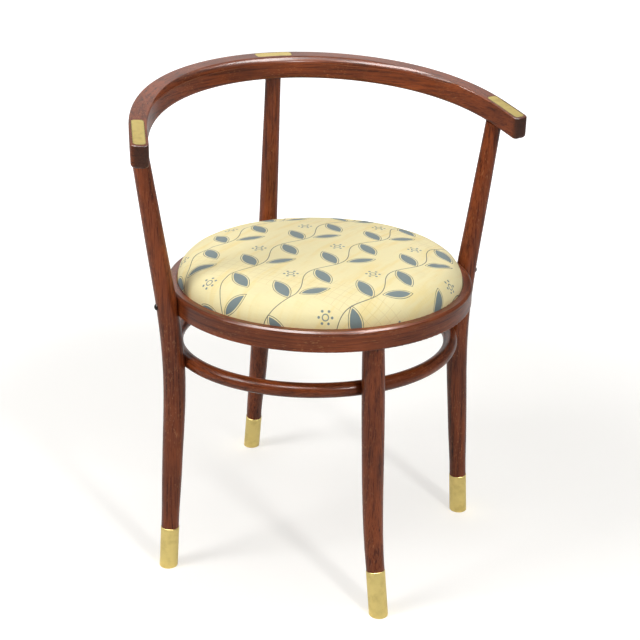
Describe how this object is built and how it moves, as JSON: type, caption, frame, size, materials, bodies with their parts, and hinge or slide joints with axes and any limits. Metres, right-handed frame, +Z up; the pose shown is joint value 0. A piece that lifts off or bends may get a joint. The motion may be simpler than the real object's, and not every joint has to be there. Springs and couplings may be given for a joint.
{
  "type": "bentwood armchair",
  "caption": "Low-back bentwood armchair: one bent rail makes the back and arms, over a round upholstered seat, splayed legs with brass feet and a round stretcher hoop.",
  "frame": {"origin": "on the floor, under the middle of the chair's box", "axes": "+Z up, +X towards the right arm as seen from the front, -Y towards the front"},
  "size_m": [0.6096, 0.6097, 0.7487],
  "materials": {
    "stained_beech": "polished",
    "brass": "satin",
    "dark_steel": "dark",
    "seat_fabric": "woven",
    "padding": "matte",
    "plywood": "raw"
  },
  "bodies": {
    "root": {"arm_rail": "stained_beech", "left_leg": "stained_beech", "right_leg": "stained_beech", "back_leg": "stained_beech", "front_leg": "stained_beech", "seat_ring": "stained_beech", "stretcher_hoop": "stained_beech", "left_arm_plate": "brass", "right_arm_plate": "brass", "back_plate": "brass", "left_ferrule": "brass", "right_ferrule": "brass", "back_ferrule": "brass", "front_ferrule": "brass", "rail_screws": "dark_steel", "ring_screws": "dark_steel", "hoop_screws": "dark_steel", "board_screws": "dark_steel", "cover_tacks": "dark_steel", "seat_cover": "seat_fabric", "seat_padding": "padding", "seat_board": "plywood"}
  },
  "joints": []
}
